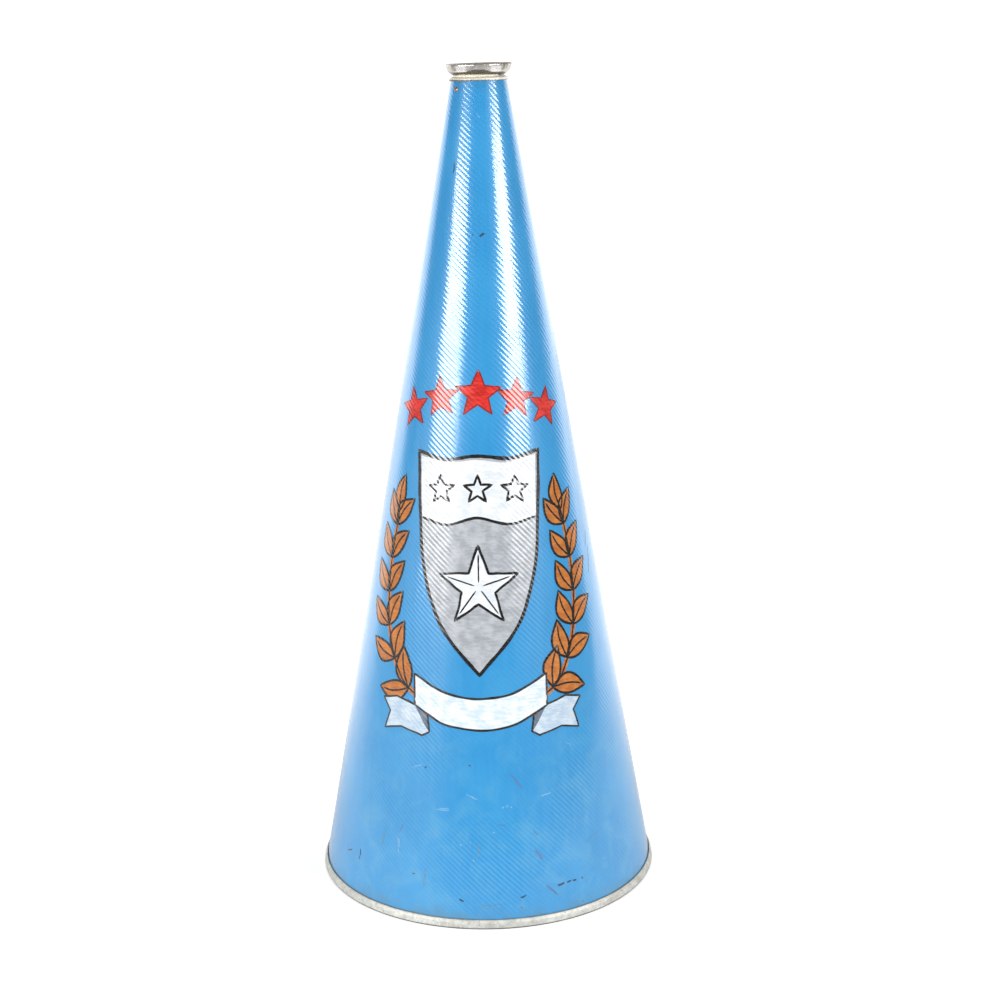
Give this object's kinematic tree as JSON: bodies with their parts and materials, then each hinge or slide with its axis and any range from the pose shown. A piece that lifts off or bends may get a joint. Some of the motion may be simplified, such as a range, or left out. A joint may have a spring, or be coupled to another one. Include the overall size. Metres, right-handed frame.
{
  "type": "acoustic cheering megaphone",
  "caption": "Painted fibre cone megaphone with a flared metal mouthpiece, a riveted lap seam up the back and a folded metal binding round the bell.",
  "frame": {"origin": "centre of the bell's foot, on the surface that the megaphone stands on", "axes": "+Z along the cone's axis from the bell to the mouthpiece, -Y towards the decorated front, +Y towards the seam, +X to the right of a person who faces the front"},
  "size_m": [0.2588, 0.2591, 0.61],
  "materials": {
    "blue_fibre": "glossy blue enamel over vulcanised fibre sheet embossed with fine diagonal ribs",
    "zinc_binding": "dull zinc-coated steel, mottled and nicked",
    "solder": "dull grey soft solder",
    "nickel_plate": "bright nickel plate on steel, worn brown at the edges",
    "copper_rivet": "tarnished copper",
    "emblem_red": "hand-brushed glossy red enamel",
    "emblem_white": "hand-brushed glossy white enamel",
    "emblem_orange": "hand-brushed glossy orange-brown enamel",
    "emblem_grey": "hand-brushed grey enamel",
    "emblem_black": "hand-brushed black enamel",
    "steel_washer": "tarnished steel"
  },
  "bodies": {
    "root": {"fibre_cone": "blue_fibre", "bell_rim": "zinc_binding", "rim_solder": "solder", "mouthpiece_cup": "nickel_plate", "mouthpiece_sleeve": "nickel_plate", "sleeve_rivets": "copper_rivet", "seam_rivets": "copper_rivet", "seam_burrs": "steel_washer"}
  },
  "joints": []
}
